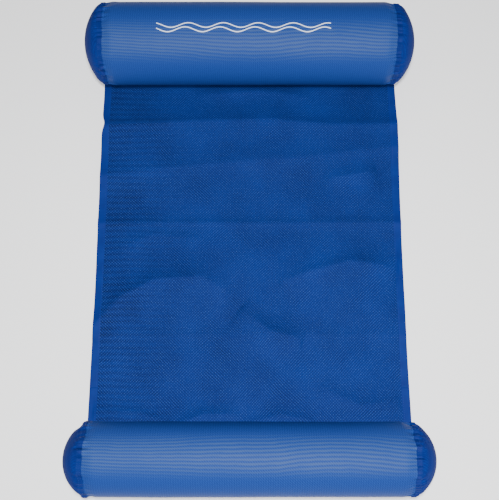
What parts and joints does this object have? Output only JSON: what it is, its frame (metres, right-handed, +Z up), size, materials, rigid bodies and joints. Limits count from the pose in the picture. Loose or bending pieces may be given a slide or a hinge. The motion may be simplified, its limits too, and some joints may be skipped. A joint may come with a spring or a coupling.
{
  "type": "inflatable pool float",
  "caption": "Floating hammock: two inflated rolls in mesh sleeves with domed ends, joined by a folding mesh sling with bound side hems.",
  "frame": {"origin": "middle of the footprint, on the ground", "axes": "+Y towards the larger head roll, +X to the right when seen from the foot, +Z up"},
  "size_m": [0.7, 1.013, 0.1707],
  "materials": {
    "sling_mesh": "woven mesh, matte",
    "roll_mesh": "woven mesh stretched over glossy film",
    "cap_mesh": "fine woven mesh, matte",
    "hem_cloth": "plain woven tape",
    "band_cloth": "plain woven tape",
    "thread": "twisted sewing thread",
    "bladder_film": "smooth soft vinyl film",
    "valve_plastic": "soft moulded vinyl"
  },
  "bodies": {
    "sling_3": {"sling_panel_3": "sling_mesh", "hem_left_3": "hem_cloth", "hem_right_3": "hem_cloth", "hem_stitches_3": "thread"},
    "sling_2": {"sling_panel_2": "sling_mesh", "hem_left_2": "hem_cloth", "hem_right_2": "hem_cloth", "hem_stitches_2": "thread"},
    "sling_1": {"sling_panel_1": "sling_mesh", "hem_left_1": "hem_cloth", "hem_right_1": "hem_cloth", "hem_stitches_1": "thread", "head_seam_stitches": "thread", "head_bartacks": "thread"},
    "sling_4": {"sling_panel_4": "sling_mesh", "hem_left_4": "hem_cloth", "hem_right_4": "hem_cloth", "hem_stitches_4": "thread", "foot_seam_stitches": "thread", "foot_bartacks": "thread"},
    "head_roll": {"head_sleeve": "roll_mesh", "head_cap_left": "cap_mesh", "head_cap_right": "cap_mesh", "head_seam_band_left": "band_cloth", "head_seam_band_right": "band_cloth", "head_band_stitches": "thread", "head_bladder_tube": "bladder_film", "head_bladder_end_left": "bladder_film", "head_bladder_end_right": "bladder_film", "head_valve_flange": "valve_plastic", "head_valve_collar": "band_cloth"},
    "head_stem": {"head_valve_stem": "valve_plastic"},
    "head_flap": {"head_valve_flap": "valve_plastic"},
    "head_plug": {"head_valve_plug": "valve_plastic", "head_plug_tether": "valve_plastic"},
    "foot_roll": {"foot_sleeve": "roll_mesh", "foot_cap_left": "cap_mesh", "foot_cap_right": "cap_mesh", "foot_seam_band_left": "band_cloth", "foot_seam_band_right": "band_cloth", "foot_band_stitches": "thread", "foot_bladder_tube": "bladder_film", "foot_bladder_end_left": "bladder_film", "foot_bladder_end_right": "bladder_film", "foot_valve_flange": "valve_plastic", "foot_valve_collar": "band_cloth"},
    "foot_stem": {"foot_valve_stem": "valve_plastic"},
    "foot_flap": {"foot_valve_flap": "valve_plastic"},
    "foot_plug": {"foot_valve_plug": "valve_plastic", "foot_plug_tether": "valve_plastic"}
  },
  "joints": [
    {"name": "crease_2_fold", "type": "hinge", "parent": "sling_3", "child": "sling_2", "pos_m": [0, 0.04506, 0.0006], "axis": [1, 0, 0], "range_deg": [-150, 120]},
    {"name": "crease_1_fold", "type": "hinge", "parent": "sling_2", "child": "sling_1", "pos_m": [0, 0.28306, 0.0006], "axis": [-1, 0, 0], "range_deg": [-100, 150]},
    {"name": "head_seam_hinge", "type": "hinge", "parent": "sling_1", "child": "head_roll", "pos_m": [0, 0.37956, 0.00769], "axis": [1, 0, 0], "range_deg": [-150, 35]},
    {"name": "crease_3_fold", "type": "hinge", "parent": "sling_3", "child": "sling_4", "pos_m": [0, -0.19294, 0.0006], "axis": [1, 0, 0], "range_deg": [-120, 150]},
    {"name": "foot_seam_hinge", "type": "hinge", "parent": "sling_4", "child": "foot_roll", "pos_m": [0, -0.40454, 0.00537], "axis": [-1, 0, 0], "range_deg": [-150, 30]},
    {"name": "head_stem_slide", "type": "slide", "parent": "head_roll", "child": "head_stem", "axis": [-0.9397, 0, -0.342], "range_m": [0, 0.012]},
    {"name": "head_plug_pull", "type": "slide", "parent": "head_stem", "child": "head_plug", "axis": [-0.9397, 0, -0.342], "range_m": [0, 0.014], "deforming": ["head_plug_tether"]},
    {"name": "head_flap_hinge", "type": "hinge", "parent": "head_stem", "child": "head_flap", "pos_m": [-0.31918, 0.4205, 0.05847], "axis": [0, -1, 0], "range_deg": [0, 60], "stiffness_Nm_per_rad": 0.0001, "springref_deg": -11.46},
    {"name": "foot_stem_slide", "type": "slide", "parent": "foot_roll", "child": "foot_stem", "axis": [-0.8829, 0, -0.4695], "range_m": [0, 0.012]},
    {"name": "foot_plug_pull", "type": "slide", "parent": "foot_stem", "child": "foot_plug", "axis": [-0.8829, 0, -0.4695], "range_m": [0, 0.014], "deforming": ["foot_plug_tether"]},
    {"name": "foot_flap_hinge", "type": "hinge", "parent": "foot_stem", "child": "foot_flap", "pos_m": [-0.31915, -0.4375, 0.04852], "axis": [0, -1, 0], "range_deg": [0, 60], "stiffness_Nm_per_rad": 0.0001, "springref_deg": -11.46}
  ]
}
